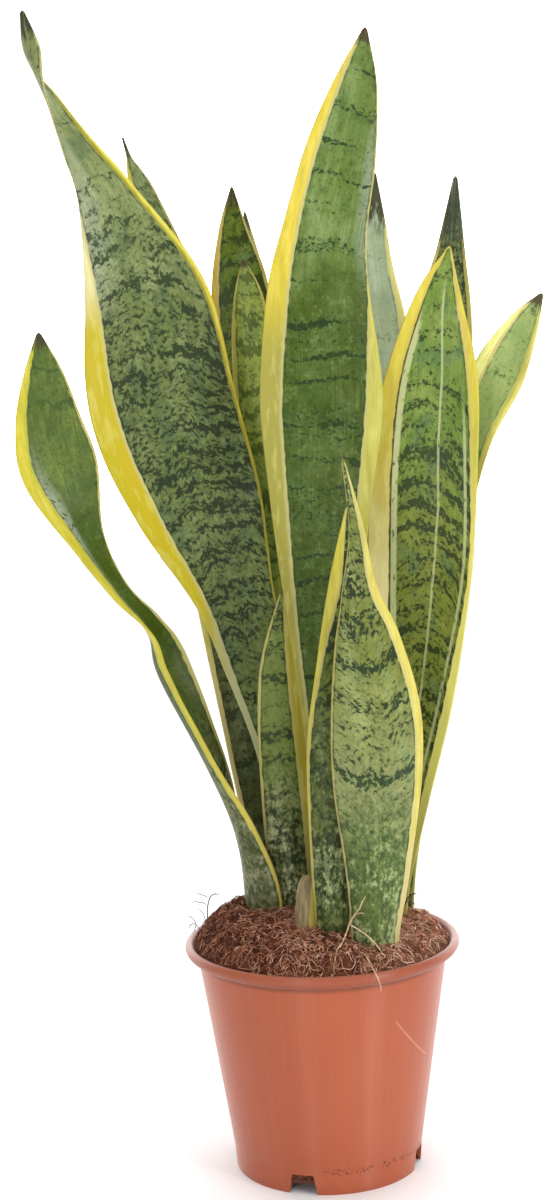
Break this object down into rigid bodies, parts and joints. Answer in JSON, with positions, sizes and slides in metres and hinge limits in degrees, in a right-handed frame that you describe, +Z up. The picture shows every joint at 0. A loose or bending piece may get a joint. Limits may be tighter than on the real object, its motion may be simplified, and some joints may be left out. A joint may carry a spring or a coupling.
{
  "type": "potted snake plant",
  "caption": "Snake plant with upright, twisted, yellow-edged leaves growing from fibrous soil heaped in a tapered terracotta-coloured plastic nursery pot.",
  "frame": {"origin": "centre of the pot's standing plane, on the stud in the middle of its underside", "axes": "+Z up along the pot's axis and the leaves, +X to the plant's right as seen from its front, -Y its front"},
  "size_m": [0.261, 0.1624, 0.5812],
  "materials": {
    "pot": "satin terracotta-coloured moulded plastic",
    "soil": "damp reddish-brown coconut fibre potting mix, dull and crumbly",
    "rootstock": "pale smooth root skin",
    "dry_sheath": "papery beige dry leaf sheath",
    "leaf_green": "living leaf, satin, mid green with jagged dark cross bands and yellow edges",
    "leaf_grey_green": "living leaf, waxy, grey green with jagged dark cross bands and yellow edges",
    "leaf_dark_green": "living leaf, satin, dark green with black-green bands and yellow edges",
    "leaf_light_green": "living leaf, satin, pale green with broken dark bands and cream-yellow edges"
  },
  "bodies": {
    "root": {"pot": "pot", "soil": "soil", "rootstock": "rootstock", "leaf_tall_left": "leaf_grey_green", "leaf_far_left": "leaf_green", "leaf_behind_tall_left": "leaf_grey_green", "leaf_back_dark": "leaf_dark_green", "leaf_back_grey": "leaf_grey_green", "leaf_centre_left": "leaf_green", "leaf_tall_centre": "leaf_green", "leaf_behind_centre": "leaf_grey_green", "leaf_broad_right": "leaf_green", "leaf_front_right": "leaf_light_green", "leaf_back_right": "leaf_grey_green", "leaf_far_right": "leaf_light_green", "leaf_front_middle": "leaf_dark_green", "leaf_front_left": "leaf_green", "dry_sheath": "dry_sheath"}
  },
  "joints": []
}
